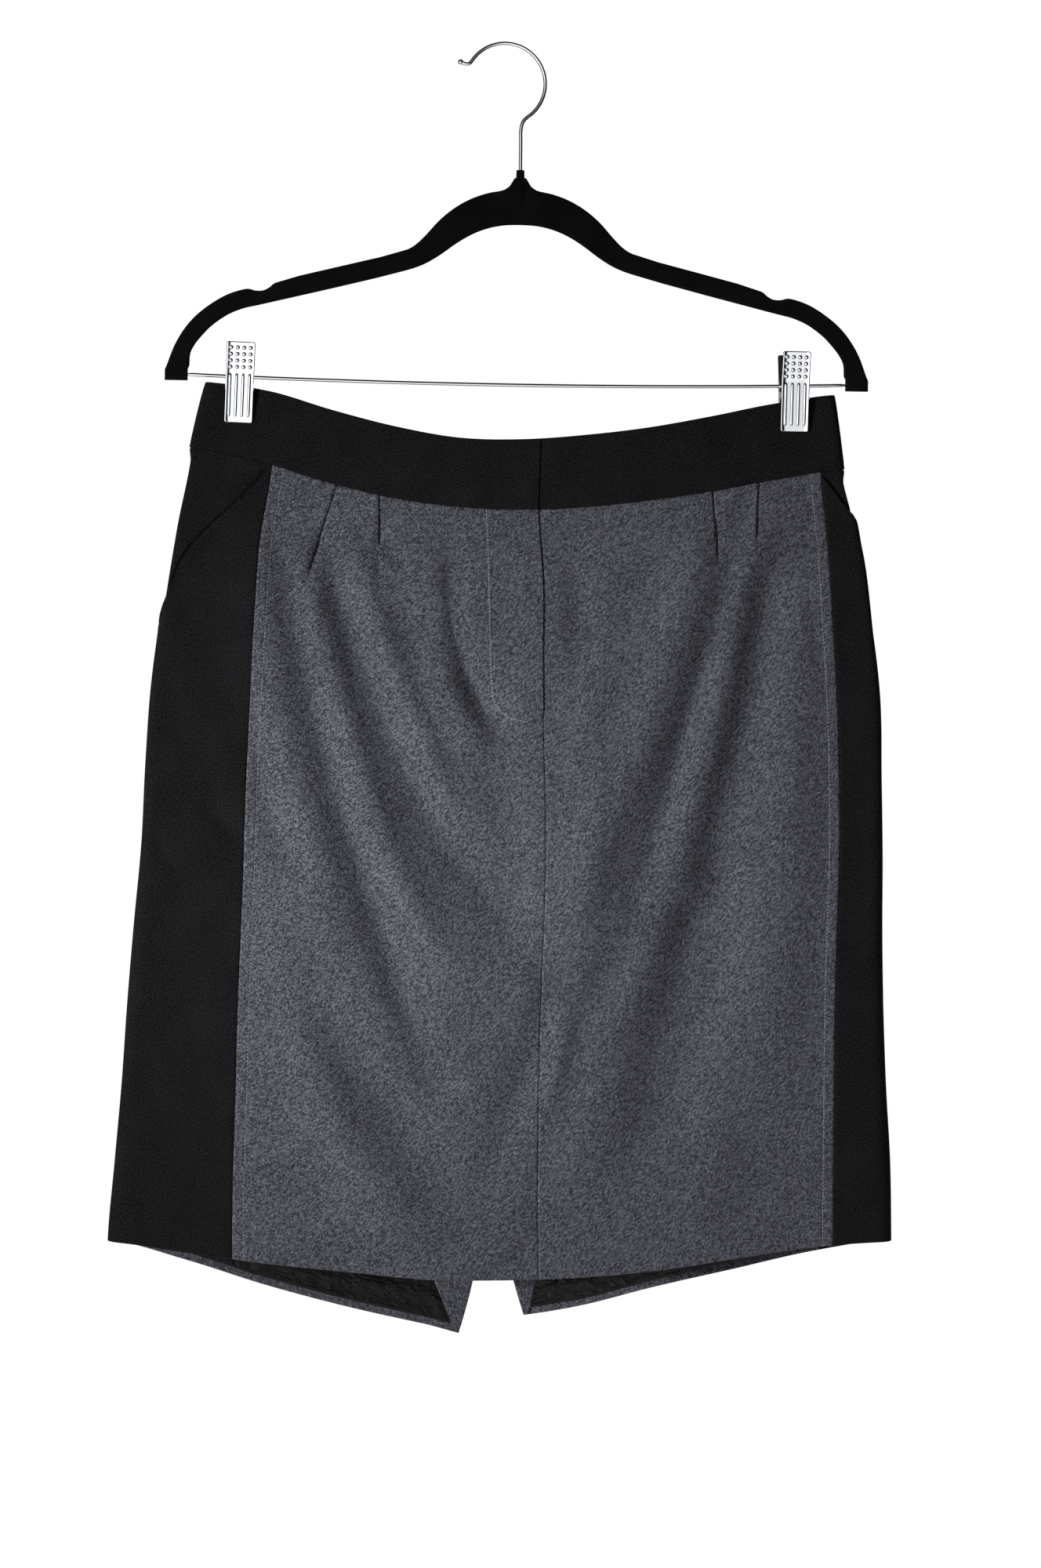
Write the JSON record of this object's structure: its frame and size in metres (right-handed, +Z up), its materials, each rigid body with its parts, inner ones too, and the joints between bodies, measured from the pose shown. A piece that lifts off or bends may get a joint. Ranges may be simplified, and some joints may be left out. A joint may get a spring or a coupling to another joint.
{
  "type": "pencil skirt on a clip hanger",
  "caption": "Colour-blocked pencil skirt with a contoured waistband, scooped pockets and a back vent, clipped flat to a slim flocked hanger.",
  "frame": {"origin": "top of the inside of the hook, where a rail carries the hanger", "axes": "+Z up along the hang of the skirt, the skirt's front towards -Y, +X to the right as seen from the front"},
  "size_m": [0.5007, 0.0698, 0.8275],
  "materials": {
    "wool": "heathered blue-grey twill",
    "black_cloth": "plain black weave",
    "satin": "shiny black satin",
    "flock": "black flock over a moulded core",
    "chrome": "polished"
  },
  "bodies": {
    "root": {"front_left": "wool", "front_right": "wool", "back_left": "wool", "back_right": "wool", "vent_facing_left": "wool", "vent_facing_right": "wool", "side_panel_left": "black_cloth", "side_panel_right": "black_cloth", "pocket_yoke_left": "black_cloth", "pocket_yoke_right": "black_cloth", "waistband_front_left": "black_cloth", "waistband_front_right": "black_cloth", "waistband_back": "black_cloth", "lining_left": "satin", "lining_right": "satin", "zip_tape": "black_cloth", "zip_slider": "chrome", "hanger_body": "flock", "hook": "chrome", "clip_bar": "chrome", "clip_left_front": "chrome", "clip_left_back": "chrome", "clip_left_spring": "chrome", "clip_right_front": "chrome", "clip_right_back": "chrome", "clip_right_spring": "chrome"}
  },
  "joints": []
}
